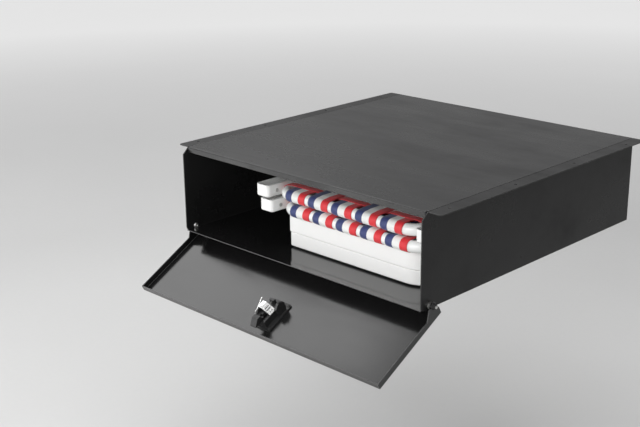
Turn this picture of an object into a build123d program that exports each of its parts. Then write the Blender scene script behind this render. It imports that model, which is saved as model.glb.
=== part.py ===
from build123d import *
from math import sin, cos, radians, acos, atan2, hypot
import os

# Under-body storage locker with a drop-down latched door, standing open,
# and the gear it carries: one fold-in-half table and two folded webbed chairs.
#
# Frame: +X to the right when facing the opening, +Y into the locker, +Z up.
# Origin: centre of the mounting-hole pattern, on the top face of the flanges.
# All lengths are in millimetres.

os.makedirs("parts", exist_ok=True)

# ----------------------------------------------------------------- dimensions
# locker shell
BOX_W = 711.2            # across the outer faces of the side panels
BOX_H = 200.0            # top of the flanges to the underside of the floor
BOX_D = 762.0            # front edges to the back face
SHEET = 2.0              # sheet thickness
FLANGE_W = 33.0          # outward mounting flange on each side panel
FLANGE_Y0 = 16.0         # flange starts this far behind the front edge
CHAMFER = 16.0           # front-top corner of a side panel
CORNER_R = 9.0           # front-bottom corner of a side panel
LIP_Y = 13.0             # front face of the header lip behind the front edge
LIP_H = 12.5             # height of the header lip
REAR_RETURN = 14.0       # weld flange round the rear panel
YF = -BOX_D / 2          # front edges of the side panels and the floor
YB = BOX_D / 2
XO = BOX_W / 2           # outer face of a side panel
XI = XO - SHEET          # inner face of a side panel

# mounting holes in the flanges
MOUNT_R = 3.6
MOUNT_X = 372.6          # hole centres from the middle
MOUNT_Y = (-320.0, -107.0, 107.0, 320.0)

# door pan
PIVOT_Y = YF + 27.0
PIVOT_Z = -BOX_H + 6.5
OPEN_ANGLE = 119.4       # from closed (upright) to the rest position
PLATE_OUT = 33.0         # outer face of the door plate from the pivot axis
PLATE_IN = PLATE_OUT - SHEET
RIM = 18.0               # rim of the door flanges from the pivot axis
HINGE_RIM = 15.1         # the flange under the floor is taller: it is the stop
DOOR_U0 = -13.0          # hinge-side edge, along the door from the axis
DOOR_U1 = 193.0          # free edge
WASHER_T = 6.0
EAR_IN = XO + WASHER_T
DOOR_HW = EAR_IN + SHEET
EAR_R = 9.0
EAR_END = 28.0

# pivot hardware
PIN_R = 3.175
RUN = 0.05               # radial running clearance

# latch (coordinates across the door, along the door, above the inner face)
LX = 12.0                # latch centre line
CUT_X0, CUT_X1, CUT_U0, CUT_U1 = LX - 17.0, LX + 17.0, 108.0, 161.0
SCREW_U = (98.0, 165.5)
LOCK_U = 118.0
LOCK_R = 8.0
PLUG_R = 5.9
PAD_U = 156.0            # paddle pin
PAD_N = 40.5
GASKET_T = 0.8
BOLT_TIP = 183.5
BOLT_BASE = 19.4
BLOCK_N = 18.8           # top of the latch block

# table, folded in half and shut
TAB_X0, TAB_X1 = -94.5, 300.0
TAB_STEP = 3.0           # the lower half stops short on the left
TAB_Y0, TAB_L = 84.0, 606.0
TAB_TOP, TAB_SEAM, TAB_BOT = -120.5, -161.8, -195.2
TAB_R = 55.0             # corners on the far side from the fold

# folding webbed chairs
CH_HALF = 193.0          # back frame centre line, half width
CH_R = 12.7              # 25.4 mm tube
CH_WALL = 1.3
CH_Y0 = 70.0             # front cross tube behind the front edge
CH_LEN = 550.0
CH_CORNER = 32.0
SEAT_HALF = 161.6
SEAT_R = 11.0
LEG_R = 9.5
LEG_X = 230.0
RLEG_HALF = 137.0
ARM_IN, ARM_W, ARM_H, ARM_L = 210.0, 40.0, 28.0, 330.0
ARM_Y0 = 46.0
WEB_W, WEB_T, WEB_PITCH = 58.5, 1.2, 68.8
CHAIRS = {
    "upper_chair": dict(xc=90.0, zc=-71.0, arm_z=-68.5, shift=0.0),
    "lower_chair": dict(xc=101.5, zc=-104.0, arm_z=-100.0, shift=2.0),
}

A = radians(OPEN_ANGLE)
# Door frame: local x = X, local y = along the door towards the free edge,
# local z = out through the outer face. The origin is on the pivot axis.
U_DIR = (0, -sin(A), cos(A))
N_DIR = (0, -cos(A), -sin(A))
DOOR = Plane(origin=(0, PIVOT_Y, PIVOT_Z), x_dir=(1, 0, 0), z_dir=N_DIR)


def door_side(x):
    """Plane across the door at X = x, local x along the door, local y outward."""
    return Plane(origin=(x, PIVOT_Y, PIVOT_Z), x_dir=U_DIR, z_dir=(1, 0, 0))


def inner(n):
    """Plane parallel to the door, n above its inner face, local z outward."""
    return DOOR.offset(PLATE_IN - n)


def save(piece, label):
    piece.part.label = label
    export_step(piece.part, f"parts/{label}.step")


# =============================================================== locker shell
def side_panel(sign, label):
    with BuildPart() as panel:
        # bent section: upright web with a flange turned outward at the top
        with BuildSketch(Plane.XZ.offset(-YB)) as sec:
            with BuildLine():
                Polyline(
                    (sign * XI, -BOX_H), (sign * XI, 0), (sign * (XO + FLANGE_W), 0),
                    (sign * (XO + FLANGE_W), -SHEET), (sign * XO, -SHEET),
                    (sign * XO, -BOX_H), (sign * XI, -BOX_H),
                )
            make_face()
            fillet(sec.vertices().filter_by(
                lambda v: abs(abs(v.X) - XI) < 0.01 and abs(v.Y) < 0.01), 2.4)
            fillet(sec.vertices().filter_by(
                lambda v: abs(abs(v.X) - XO) < 0.01 and abs(v.Y + SHEET) < 0.01), 0.6)
        extrude(amount=BOX_D)
        # chamfer at the front-top corner
        x0 = XI if sign > 0 else -XO
        with BuildSketch(Plane.YZ.offset(x0 - 2)):
            Polygon((YF - 1, -CHAMFER - 1), (YF - 1, 1), (YF + CHAMFER + 1, 1), align=None)
        extrude(amount=SHEET + 4, mode=Mode.SUBTRACT)
        # the flange starts behind the front edge
        with BuildSketch(Plane.XY.offset(-SHEET - 1)):
            with Locations((sign * (XO + 0.02 + FLANGE_W), YF + FLANGE_Y0 / 2 - 2)):
                Rectangle(2 * FLANGE_W, FLANGE_Y0 + 4)
        extrude(amount=SHEET + 2, mode=Mode.SUBTRACT)
        low = panel.edges().filter_by(Axis.X).filter_by(
            lambda e: abs(e.center().Y - YF) < 0.01 and abs(e.center().Z + BOX_H) < 0.01)
        fillet(low, CORNER_R)
        far = panel.edges().filter_by(Axis.Z).filter_by(
            lambda e: abs(e.center().X) > XO + FLANGE_W - 1
        )
        fillet(far, 7)
        for y in MOUNT_Y:
            with Locations(Plane.XY.offset(0)):
                with Locations((sign * MOUNT_X, y)):
                    Hole(radius=MOUNT_R, depth=SHEET + 1)
        with BuildSketch(Plane.YZ.offset(x0 - 1)):
            with Locations((PIVOT_Y, PIVOT_Z)):
                Circle(PIN_R + RUN)
        extrude(amount=SHEET + 2, mode=Mode.SUBTRACT)
    save(panel, label)


side_panel(+1, "right_side_panel")
side_panel(-1, "left_side_panel")

with BuildPart() as floor_panel:
    with BuildSketch(Plane.XY.offset(-BOX_H)):
        Rectangle(2 * XI, BOX_D)
    extrude(amount=SHEET)
    fillet(
        floor_panel.edges().filter_by(Axis.X).filter_by(
            lambda e: e.center().Y < YF + 1
        ), 0.7)
    # notches that clear the heads of the pivot bolts
    with BuildSketch(Plane.XY.offset(-BOX_H - 1)):
        with Locations((XI - 1.8, PIVOT_Y), (-XI + 1.8, PIVOT_Y)):
            Rectangle(5.6, 15.2)
    extrude(amount=SHEET + 2, mode=Mode.SUBTRACT)
save(floor_panel, "floor_panel")

with BuildPart() as rear_panel:
    with BuildSketch(Plane.XZ.offset(-YB)):
        with Locations((0, -BOX_H / 2)):
            Rectangle(2 * XI, BOX_H - 2 * SHEET)
    extrude(amount=REAR_RETURN)
    with BuildSketch(Plane.XZ.offset(-YB + SHEET)):
        with Locations((0, -BOX_H / 2)):
            Rectangle(2 * XI - 2 * SHEET, BOX_H - 4 * SHEET)
    extrude(amount=REAR_RETURN, mode=Mode.SUBTRACT)
    # square relief notches where the returns meet
    for sx in (-1, 1):
        for sz in (-1, 1):
            with BuildSketch(Plane.XZ.offset(-YB + SHEET)):
                with Locations((sx * (XI - 2), -BOX_H / 2 + sz * (BOX_H / 2 - SHEET - 2))):
                    Rectangle(5, 5)
            extrude(amount=REAR_RETURN, mode=Mode.SUBTRACT)
save(rear_panel, "rear_panel")

with BuildPart() as top_panel:
    with BuildSketch(Plane.XY.offset(-SHEET)):
        with Locations((0, (YF + LIP_Y + YB) / 2)):
            Rectangle(2 * XI, BOX_D - LIP_Y)
    extrude(amount=SHEET)
    with BuildSketch(Plane.XY.offset(-LIP_H)):
        with Locations((0, YF + LIP_Y + SHEET / 2)):
            Rectangle(2 * XI - 6, SHEET)
    extrude(amount=LIP_H - SHEET / 2)
    for sx in (-1, 1):
        with BuildSketch(Plane.XY.offset(-LIP_H)):
            with Locations((sx * (XI - SHEET / 2), (YF + LIP_Y + 7 + YB - REAR_RETURN - 2) / 2)):
                Rectangle(SHEET, BOX_D - LIP_Y - 7 - REAR_RETURN - 2)
        extrude(amount=LIP_H - SHEET / 2)
        # bend relief at each end of the header lip
        with BuildSketch(Plane.XY.offset(-SHEET - 1)):
            with Locations((sx * (XI - 1.5), YF + LIP_Y + 3)):
                Rectangle(3, 8)
        extrude(amount=SHEET + 2, mode=Mode.SUBTRACT)
    bend = top_panel.edges().filter_by(Axis.X).filter_by(
        lambda e: abs(e.center().Z) < 0.01 and e.center().Y < YF + LIP_Y + 1 and e.length > 300
    )
    fillet(bend, 2.6)
    rim = top_panel.edges().filter_by(Axis.X).filter_by(
        lambda e: abs(e.center().Z + LIP_H) < 0.01 and e.center().Y < YF + 20
    )
    fillet(rim, 0.5)
save(top_panel, "top_panel")

# ============================================================ pivot hardware
with BuildPart() as pivot_bolts:
    for s in (-1, 1):
        seat = Plane(origin=(s * XI, PIVOT_Y, PIVOT_Z), x_dir=(0, 1, 0), z_dir=(s, 0, 0))
        with BuildSketch(seat.offset(-4.0)):
            Circle(6.5)
        extrude(amount=4.0)
        with BuildSketch(seat):
            Circle(PIN_R)
        extrude(amount=SHEET + WASHER_T + SHEET + 0.4 + 7.6 + 1.8)
    domes = pivot_bolts.edges().filter_by(GeomType.CIRCLE).filter_by(
        lambda e: abs(e.radius - 6.5) < 0.01 and abs(e.center().X) < XI - 3
    )
    fillet(domes, 3.3)
    ends = pivot_bolts.edges().filter_by(GeomType.CIRCLE).filter_by(
        lambda e: abs(e.radius - PIN_R) < 0.01 and abs(e.center().X) > DOOR_HW + 5
    )
    chamfer(ends, 0.6)
    for s in (-1, 1):
        seat = Plane(origin=(s * XI, PIVOT_Y, PIVOT_Z), x_dir=(0, 1, 0), z_dir=(s, 0, 0))
        with BuildSketch(seat.offset(-4.1)):
            RegularPolygon(radius=2.3, side_count=6)
        extrude(amount=2.3, mode=Mode.SUBTRACT)
save(pivot_bolts, "pivot_bolts")

with BuildPart() as pivot_spacer_washers:
    for s in (-1, 1):
        seat = Plane(origin=(s * (XO + 0.05), PIVOT_Y, PIVOT_Z), x_dir=(0, 1, 0), z_dir=(s, 0, 0))
        with BuildSketch(seat):
            Circle(7.8)
            Circle(PIN_R + RUN, mode=Mode.SUBTRACT)
        extrude(amount=WASHER_T - 0.1)
    chamfer(pivot_spacer_washers.edges().filter_by(GeomType.CIRCLE).filter_by(
        lambda e: abs(e.radius - 7.8) < 0.01), 0.25)
save(pivot_spacer_washers, "pivot_spacer_washers")

with BuildPart() as pivot_lock_nuts:
    for s in (-1, 1):
        seat = Plane(origin=(s * (DOOR_HW + 0.4), PIVOT_Y, PIVOT_Z), x_dir=(0, 1, 0), z_dir=(s, 0, 0))
        with BuildSketch(seat):
            RegularPolygon(radius=5.55, side_count=6, major_radius=False)
        extrude(amount=5.6)
        with BuildSketch(seat.offset(5.6)):
            Circle(5.0)
        extrude(amount=2.0)
        with BuildSketch(seat):
            Circle(7.0)
        extrude(amount=1.0)
        with BuildSketch(seat.offset(-1)):
            Circle(PIN_R + 0.03)
        extrude(amount=12, mode=Mode.SUBTRACT)
    tops = pivot_lock_nuts.edges().filter_by(GeomType.CIRCLE).filter_by(
        lambda e: abs(e.radius - 5.0) < 0.01 and abs(e.center().X) > DOOR_HW + 7)
    fillet(tops, 0.9)
save(pivot_lock_nuts, "pivot_lock_nuts")

# ================================================================== door pan
pan_u = (DOOR_U0 + DOOR_U1) / 2
pan_l = DOOR_U1 - DOOR_U0


def tangent(px, py, r, side):
    """Where a line from (px, py) touches the circle of radius r at the origin."""
    base, half = atan2(py, px), acos(r / hypot(px, py))
    return (r * cos(base + side * half), r * sin(base + side * half))


with BuildPart() as door_pan:
    with BuildSketch(DOOR.offset(HINGE_RIM)):
        with Locations((0, pan_u)):
            Rectangle(2 * DOOR_HW, pan_l)
    extrude(amount=PLATE_OUT - HINGE_RIM)
    outer_edges = door_pan.faces().sort_by(Axis(origin=(0, 0, 0), direction=N_DIR))[-1].edges()
    fillet(outer_edges, 2.8)
    with BuildSketch(DOOR.offset(HINGE_RIM - 1)):
        with Locations((0, pan_u)):
            Rectangle(2 * (DOOR_HW - SHEET), pan_l - 2 * SHEET)
    extrude(amount=PLATE_IN - HINGE_RIM + 1, mode=Mode.SUBTRACT)
    # the other three flanges stop lower than the one under the floor
    with BuildSketch(DOOR.offset(HINGE_RIM - 1)):
        with Locations((0, pan_u + SHEET)):
            Rectangle(2 * DOOR_HW + 2, pan_l)
    extrude(amount=RIM - HINGE_RIM + 1, mode=Mode.SUBTRACT)
    # ears reach from the side flanges to the pivot axis
    t0 = tangent(DOOR_U0, RIM, EAR_R, +1)
    t1 = tangent(EAR_END, RIM, EAR_R, -1)
    for x0 in (EAR_IN, -DOOR_HW):
        with BuildSketch(door_side(x0)):
            Polygon(
                (DOOR_U0, RIM + 3), t0, (0, 0), t1, (EAR_END, RIM), (EAR_END, RIM + 3),
                align=None,
            )
            Circle(EAR_R)
        extrude(amount=SHEET)
        with BuildSketch(door_side(x0 - 1)):
            Circle(PIN_R + RUN)
        extrude(amount=SHEET + 2, mode=Mode.SUBTRACT)
    # latch cut-out and its four screw holes
    with BuildSketch(DOOR.offset(PLATE_IN - 1)):
        with Locations(((CUT_X0 + CUT_X1) / 2, (CUT_U0 + CUT_U1) / 2)):
            RectangleRounded(CUT_X1 - CUT_X0, CUT_U1 - CUT_U0, 2)
        for sx in (-1, 1):
            for u in SCREW_U:
                with Locations((LX + sx * 22.0, u)):
                    Circle(2.1)
    extrude(amount=SHEET + 2, mode=Mode.SUBTRACT)
save(door_pan, "door_pan")

# ===================================================================== latch
# outside: gasket, dished housing, paddle on its pin, lock
HOUSE_N0 = PLATE_OUT + GASKET_T
with BuildPart() as handle_gasket:
    with BuildSketch(DOOR.offset(PLATE_OUT + 0.02)):
        with Locations((LX, 134)):
            RectangleRounded(90, 85, 9)
        with Locations(((CUT_X0 + CUT_X1) / 2, (CUT_U0 + CUT_U1) / 2)):
            RectangleRounded(CUT_X1 - CUT_X0, CUT_U1 - CUT_U0, 2, mode=Mode.SUBTRACT)
        for sx in (-1, 1):
            for u in SCREW_U:
                with Locations((LX + sx * 22.0, u)):
                    Circle(2.1, mode=Mode.SUBTRACT)
    extrude(amount=GASKET_T - 0.04)
save(handle_gasket, "handle_gasket")

with BuildPart() as handle_housing:
    with BuildSketch(DOOR.offset(HOUSE_N0)):
        with Locations((LX, 134)):
            RectangleRounded(93, 88, 10)
    extrude(amount=11.5)
    top = handle_housing.faces().sort_by(Axis(origin=(0, 0, 0), direction=N_DIR))[-1]
    fillet(top.edges(), 4.0)
    with BuildSketch(DOOR.offset(HOUSE_N0 + 2.6)):
        with Locations((LX, 136)):
            RectangleRounded(68, 56, 6)
    extrude(amount=12, mode=Mode.SUBTRACT)
    # round island that carries the lock
    with BuildSketch(DOOR.offset(HOUSE_N0)):
        with Locations((LX, LOCK_U)):
            Circle(11.0)
    extrude(amount=9.2)
    # neck that fills the door cut-out
    with BuildSketch(DOOR.offset(PLATE_IN + 0.02)):
        with Locations(((CUT_X0 + CUT_X1) / 2, (CUT_U0 + CUT_U1) / 2)):
            RectangleRounded(CUT_X1 - CUT_X0 - 0.8, CUT_U1 - CUT_U0 - 0.8, 2)
    extrude(amount=HOUSE_N0 - PLATE_IN + 0.5)
    # way through for the paddle tail, and the lock bore
    with BuildSketch(DOOR.offset(PLATE_IN - 1)):
        with Locations((LX + 3, 151.5)):
            Rectangle(10, 17)
        with Locations((LX, LOCK_U)):
            Circle(LOCK_R + 0.1)
    extrude(amount=20, mode=Mode.SUBTRACT)
    # bosses with the pin bores
    for s in (-1, 1):
        x0 = LX + s * 32.0 - 2.5
        with BuildSketch(door_side(x0)):
            with Locations((PAD_U, PAD_N)):
                Rectangle(8, 8)
            with Locations((PAD_U, PAD_N - 3)):
                Rectangle(8, 6)
        extrude(amount=5)
    with BuildSketch(door_side(LX - 36)):
        with Locations((PAD_U, PAD_N)):
            Circle(1.5 + RUN)
    extrude(amount=72, mode=Mode.SUBTRACT)
    # blind pilot holes for the four screws
    with BuildSketch(DOOR.offset(HOUSE_N0 - 0.5)):
        for sx in (-1, 1):
            for u in SCREW_U:
                with Locations((LX + sx * 22.0, u)):
                    Circle(1.65)
    extrude(amount=8.5, mode=Mode.SUBTRACT)
save(handle_housing, "handle_housing")

with BuildPart() as paddle_pin:
    with BuildSketch(door_side(LX - 34.3)):
        with Locations((PAD_U, PAD_N)):
            Circle(1.5)
    extrude(amount=68.6)
save(paddle_pin, "paddle_pin")

with BuildPart() as paddle_handle:
    with BuildSketch(door_side(LX - 28.5)) as pad:
        with BuildLine():
            Polyline(
                (PAD_U + 3.6, PAD_N + 2.6), (133.0, PAD_N + 2.6), (130.5, PAD_N + 3.6),
                (130.0, PAD_N + 1.2), (132.0, PAD_N - 0.6), (PAD_U - 4, PAD_N - 0.6),
                (PAD_U - 3.4, PAD_N - 3.2), (PAD_U + 3.2, PAD_N - 3.2),
                (PAD_U + 3.6, PAD_N + 2.6),
            )
        make_face()
    extrude(amount=57)
    with BuildSketch(DOOR.offset(PAD_N - 8)):
        with Locations((LX, LOCK_U)):
            Circle(13.0)
    extrude(amount=20, mode=Mode.SUBTRACT)
    # tail that reaches through the door into the bolt
    with BuildSketch(door_side(LX - 1)):
        with BuildLine():
            Polyline(
                (PAD_U - 2, PAD_N - 2), (PAD_U - 2, PLATE_IN - 23.6),
                (PAD_U + 2, PLATE_IN - 23.6), (PAD_U + 2, PAD_N - 2), (PAD_U - 2, PAD_N - 2),
            )
        make_face()
    extrude(amount=8)
    with BuildSketch(door_side(LX - 30)):
        with Locations((PAD_U, PAD_N)):
            Circle(1.5 + RUN)
    extrude(amount=60, mode=Mode.SUBTRACT)
save(paddle_handle, "paddle_handle")

with BuildPart() as lock_cylinder:
    with BuildSketch(DOOR.offset(PLATE_IN - 11)):
        with Locations((LX, LOCK_U)):
            Circle(LOCK_R)
    extrude(amount=HOUSE_N0 + 9.2 - PLATE_IN + 11)
    with BuildSketch(DOOR.offset(HOUSE_N0 + 9.25)):
        with Locations((LX, LOCK_U)):
            Circle(9.6)
    extrude(amount=1.2)
    with BuildSketch(DOOR.offset(HOUSE_N0 + 9.15)):
        with Locations((LX, LOCK_U)):
            Circle(LOCK_R)
    extrude(amount=1.0)
    with BuildSketch(DOOR.offset(PLATE_IN - 12)):
        with Locations((LX, LOCK_U)):
            Circle(PLUG_R + RUN)
    extrude(amount=40, mode=Mode.SUBTRACT)
    face_edges = lock_cylinder.edges().filter_by(GeomType.CIRCLE).filter_by(
        lambda e: abs(e.radius - 9.6) < 0.01)
    chamfer(face_edges, 0.3)
save(lock_cylinder, "lock_cylinder")

with BuildPart() as lock_key_plug:
    with BuildSketch(DOOR.offset(PLATE_IN - 11.4)):
        with Locations((LX, LOCK_U)):
            Circle(PLUG_R)
    extrude(amount=HOUSE_N0 + 10.2 - PLATE_IN + 11.4)
    # cam on the inner end
    with BuildSketch(DOOR.offset(PLATE_IN - 13.4)):
        with Locations((LX, LOCK_U)):
            SlotOverall(14.0, 7.0)
    extrude(amount=2.0)
    # keyway
    with BuildSketch(DOOR.offset(HOUSE_N0 + 10.2 - 7)):
        with Locations((LX, LOCK_U)):
            Rectangle(1.6, 8.2)
    extrude(amount=8, mode=Mode.SUBTRACT)
save(lock_key_plug, "lock_key_plug")

# inside: housing, slam bolt, spring, cover, rod, screws
COVER_SIGN = 1.0
with BuildPart() as latch_housing:
    with BuildSketch(inner(3.0)):
        with Locations((LX, 132)):
            RectangleRounded(54, 78, 5)
    extrude(amount=2.95)
    with BuildSketch(inner(BLOCK_N)):
        with Locations((LX, 134)):
            Rectangle(32, 62)
    extrude(amount=BLOCK_N - 0.05)
    # six-sided cheek on the right
    with BuildSketch(door_side(LX + 16)):
        with Locations((117, PLATE_IN - 15.2)):
            RegularPolygon(radius=15.0, side_count=6, rotation=30)
    extrude(amount=6)
    # lower cheek on the left
    with BuildSketch(door_side(LX - 13.5)):
        with BuildLine():
            Polyline(
                (124, PLATE_IN - 12), (124, PLATE_IN - 30), (128, PLATE_IN - 33.8),
                (150, PLATE_IN - 33.8), (158, PLATE_IN - 27), (163, PLATE_IN - 12),
                (124, PLATE_IN - 12),
            )
        make_face()
    extrude(amount=5.5)
    # spring post behind the bolt
    with BuildSketch(inner(29.5)):
        with Locations((LX - 2.5, 112)):
            Rectangle(13, 6)
    extrude(amount=14)
    # way through for the paddle tail, the lock bore and the room for its cam
    with BuildSketch(inner(BLOCK_N + 1)):
        with Locations((LX + 3, 151.5)):
            Rectangle(10, 17)
    extrude(amount=BLOCK_N + 2, mode=Mode.SUBTRACT)
    with BuildSketch(inner(16)):
        with Locations((LX, LOCK_U)):
            Circle(LOCK_R + 0.1)
    extrude(amount=17, mode=Mode.SUBTRACT)
    with BuildSketch(inner(14.0)):
        with Locations((LX, LOCK_U)):
            Circle(8.6)
    extrude(amount=3.2, mode=Mode.SUBTRACT)
    # screw holes
    with BuildSketch(inner(4)):
        for sx in (-1, 1):
            for u in SCREW_U:
                with Locations((LX + sx * 22.0, u)):
                    Circle(2.1)
    extrude(amount=5, mode=Mode.SUBTRACT)
save(latch_housing, "latch_housing")

with BuildPart() as latch_bolt:
    # wide bevelled nose
    with BuildSketch(door_side(LX - 7.5)) as nose:
        with BuildLine():
            Polyline(
                (160.5, PLATE_IN - BOLT_BASE), (BOLT_TIP, PLATE_IN - BOLT_BASE),
                (BOLT_TIP, PLATE_IN - BOLT_BASE - 2.2), (171.0, PLATE_IN - 33.5),
                (160.5, PLATE_IN - 33.5), (160.5, PLATE_IN - BOLT_BASE),
            )
        make_face()
        fillet(nose.vertices().sort_by(Axis.Y)[0:2], 1.2)
    extrude(amount=16.5)
    # rail that runs back under the cover
    with BuildSketch(door_side(LX - 7)):
        with BuildLine():
            Polyline(
                (132, PLATE_IN - BOLT_BASE), (161, PLATE_IN - BOLT_BASE),
                (161, PLATE_IN - 27.0), (132, PLATE_IN - 27.0), (132, PLATE_IN - BOLT_BASE),
            )
        make_face()
    extrude(amount=10.5)
    # slot for the paddle tail
    with BuildSketch(inner(27.5)):
        with Locations((LX + 3, 156)):
            Rectangle(9.2, 7.6)
    extrude(amount=9, mode=Mode.SUBTRACT)
    # bore for the return spring
    spring_face = Plane(
        origin=DOOR.from_local_coords((LX - 3.8, 131, PLATE_IN - 23.2)), x_dir=(1, 0, 0), z_dir=U_DIR
    )
    with BuildSketch(spring_face):
        Circle(2.5)
    extrude(amount=19.5, mode=Mode.SUBTRACT)
save(latch_bolt, "latch_bolt")

with BuildPart() as latch_spring:
    with BuildLine() as coil:
        Helix(
            pitch=2.4, height=24.0, radius=1.85,
            center=DOOR.from_local_coords((LX - 3.8, 115.5, PLATE_IN - 23.2)), direction=U_DIR,
        )
    with BuildSketch(Plane(origin=coil.line @ 0, z_dir=coil.line % 0)):
        Circle(0.35)
    sweep(path=coil.wires()[0], is_frenet=True)
save(latch_spring, "latch_spring")

with BuildPart() as latch_cover:
    # bent sheet that bridges from the left cheek down to the right cheek
    prof = Plane(
        origin=DOOR.from_local_coords((0, 126.0, PLATE_IN)), x_dir=(1, 0, 0), z_dir=U_DIR
    )
    # local y of this plane points into the locker (away from the door)
    with BuildSketch(prof):
        with BuildLine():
            Polyline(
                (LX - 13.5, 34.0), (LX - 4.0, 34.0), (LX + 13.6, 19.0), (LX + 15.8, 19.0),
                (LX + 15.8, 20.0), (LX - 3.3, 36.2), (LX - 13.5, 36.2), (LX - 13.5, 34.0),
            )
        make_face()
    extrude(amount=18.0)
    # two holes and two slots through the sloping part
    slope = atan2(-15.0, 17.6)
    mid = DOOR.from_local_coords((LX + 5.4, 135.0, PLATE_IN - 27.7))
    nrm = (sin(-slope), -N_DIR[1] * cos(slope), -N_DIR[2] * cos(slope))
    cutp = Plane(origin=mid, x_dir=U_DIR, z_dir=nrm)
    with BuildSketch(cutp.offset(-6)):
        with Locations((-3.0, COVER_SIGN * 8.2), (3.0, COVER_SIGN * 8.2)):
            Circle(1.2)
        with Locations((0, COVER_SIGN * 1.6), (0, COVER_SIGN * -3.6)):
            SlotOverall(13.0, 1.9)
    extrude(amount=14, mode=Mode.SUBTRACT)
save(latch_cover, "latch_cover")

with BuildPart() as latch_rod:
    with BuildLine(door_side(LX - 10.6)) as rod_line:
        FilletPolyline(
            (125.0, PLATE_IN - 48.0), (149.5, PLATE_IN - 34.9), (154.8, PLATE_IN - 34.9),
            (159.6, PLATE_IN - 28.2), radius=0.9,
        )
    with BuildSketch(Plane(origin=rod_line.line @ 0, z_dir=rod_line.line % 0)):
        Circle(0.9)
    sweep(path=rod_line.wires()[0])
save(latch_rod, "latch_rod")

with BuildPart() as latch_screws:
    for sx in (-1, 1):
        for u in SCREW_U:
            with BuildSketch(inner(5.1)):
                with Locations((LX + sx * 22.0, u)):
                    Circle(3.4)
            extrude(amount=2.05)
            with BuildSketch(inner(3.2)):
                with Locations((LX + sx * 22.0, u)):
                    Circle(1.6)
            extrude(amount=12.5)
    heads = latch_screws.edges().filter_by(GeomType.CIRCLE).filter_by(
        lambda e: abs(e.radius - 3.4) < 0.01
    ).group_by(Axis(origin=(0, 0, 0), direction=N_DIR))[0]
    fillet(heads, 1.0)
    for sx in (-1, 1):
        for u in SCREW_U:
            with BuildSketch(inner(5.2)):
                with Locations((LX + sx * 22.0, u)):
                    Rectangle(3.6, 0.8)
                    Rectangle(0.8, 3.6)
            extrude(amount=1.2, mode=Mode.SUBTRACT)
save(latch_screws, "latch_screws")

# ===================================================================== table
ty0 = YF + TAB_Y0
tyc = ty0 + TAB_L / 2


def table_half(label, x0, x1, z0, z1, open_up):
    with BuildPart() as half:
        with BuildSketch(Plane.XY.offset(z0)):
            with Locations(((x0 + x1) / 2, tyc)):
                Rectangle(x1 - x0, TAB_L)
        extrude(amount=z1 - z0)
        uprights = half.edges().filter_by(Axis.Z)
        fillet(uprights.filter_by(lambda e: e.center().X > 0), TAB_R)
        fillet(half.edges().filter_by(Axis.Z).filter_by(lambda e: e.center().X < x0 + 1), 4.0)
        outer_face = half.faces().sort_by(Axis.Z)[0 if open_up else -1]
        fillet(outer_face.edges(), 3.8)
        seam_face = half.faces().filter_by(Axis.Z).sort_by(Axis.Z)[-1 if open_up else 0]
        fillet(seam_face.edges(), 1.6)
        # recess that takes the legs
        pz = z0 + 5.0 if open_up else z0 - 1.0
        with BuildSketch(Plane.XY.offset(pz)):
            with Locations(((x0 + x1) / 2 + 2, tyc)):
                RectangleRounded(x1 - x0 - 50, TAB_L - 44, TAB_R - 22)
        extrude(amount=(z1 - z0) - 4.0, mode=Mode.SUBTRACT)
        # half of the groove for the hinge rod
        with BuildSketch(Plane.XZ.offset(-(tyc + 262))):
            with Locations((TAB_X0 + 13, TAB_SEAM)):
                Circle(4.06)
        extrude(amount=524, mode=Mode.SUBTRACT)
    save(half, label)


table_half("table_top_half", TAB_X0, TAB_X1, TAB_SEAM + 0.3, TAB_TOP, False)
table_half("table_bottom_half", TAB_X0 + TAB_STEP, TAB_X1, TAB_BOT, TAB_SEAM - 0.3, True)

with BuildPart() as table_hinge_rod:
    with BuildSketch(Plane.XZ.offset(-(tyc + 260))):
        with Locations((TAB_X0 + 13, TAB_SEAM)):
            Circle(4.0)
    extrude(amount=520)
    chamfer(table_hinge_rod.edges().filter_by(GeomType.CIRCLE), 0.8)
save(table_hinge_rod, "table_hinge_rod")


def table_leg(label, zc, y_open, y_bend):
    s = 1 if y_bend > y_open else -1
    with BuildPart() as leg:
        with BuildLine(Plane.XY.offset(zc)) as path:
            FilletPolyline(
                (-38, y_open), (-38, y_bend), (240, y_bend), (240, y_open), radius=35,
            )
        with BuildSketch(Plane(origin=path.line @ 0, z_dir=path.line % 0)):
            Circle(9.5)
            Circle(8.3, mode=Mode.SUBTRACT)
        sweep(path=path.wires()[0])
        with BuildSketch(Plane.YZ.offset(-38)):
            with Locations((y_open + s * 150, zc)):
                Circle(6.0)
        extrude(amount=278)
        # pivot tube across the open ends
        with BuildSketch(Plane.YZ.offset(-55.5)):
            with Locations((y_open + s * 8, zc)):
                Circle(6.0)
        extrude(amount=313)
    save(leg, label)


table_leg("table_leg_upper", -148.0, ty0 + 90, ty0 + 520)
table_leg("table_leg_lower", -177.5, ty0 + TAB_L - 90, ty0 + 88)

with BuildPart() as table_leg_brackets:
    for (yb, z0, z1, zc) in (
        (ty0 + 98, -160.5, TAB_TOP - 5.0, -148.0),
        (ty0 + TAB_L - 98, TAB_BOT + 5.0, -164.0, -177.5),
    ):
        for x in (-51.8, 253.8):
            with BuildSketch(Plane.XY.offset(z0)):
                with Locations((x, yb)):
                    RectangleRounded(8, 34, 2)
            extrude(amount=z1 - z0)
            with BuildSketch(Plane.YZ.offset(x - 5)):
                with Locations((yb, zc)):
                    Circle(6.06)
            extrude(amount=10, mode=Mode.SUBTRACT)
save(table_leg_brackets, "table_leg_brackets")

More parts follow.
